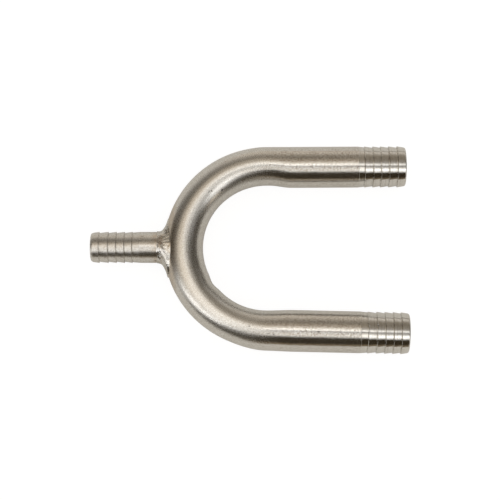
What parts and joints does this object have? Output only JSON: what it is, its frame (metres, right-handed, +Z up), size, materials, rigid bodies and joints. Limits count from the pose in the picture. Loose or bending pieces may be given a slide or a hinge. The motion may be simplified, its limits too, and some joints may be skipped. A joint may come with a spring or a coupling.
{
  "type": "barbed u-bend",
  "caption": "U-shaped tube fitting with hose barbs turned on both legs and a smaller barbed stub welded onto the outside of the bend, joining one hose line to two.",
  "frame": {"origin": "on the surface that the fitting lies on, under the middle of its box", "axes": "+X along the fitting towards the tips of the two legs, +Y across from the lower leg to the upper one, +Z up out of the plane of the bend"},
  "size_m": [0.0974, 0.0646, 0.0129],
  "materials": {
    "bent_tube": "stainless steel tube, satin with turned barbs and a matt bend",
    "stub": "satin turned stainless steel",
    "weld": "bright rippled weld metal"
  },
  "bodies": {
    "root": {"u_bend_tube": "bent_tube", "barbed_stub": "stub", "weld_bead": "weld"}
  },
  "joints": []
}
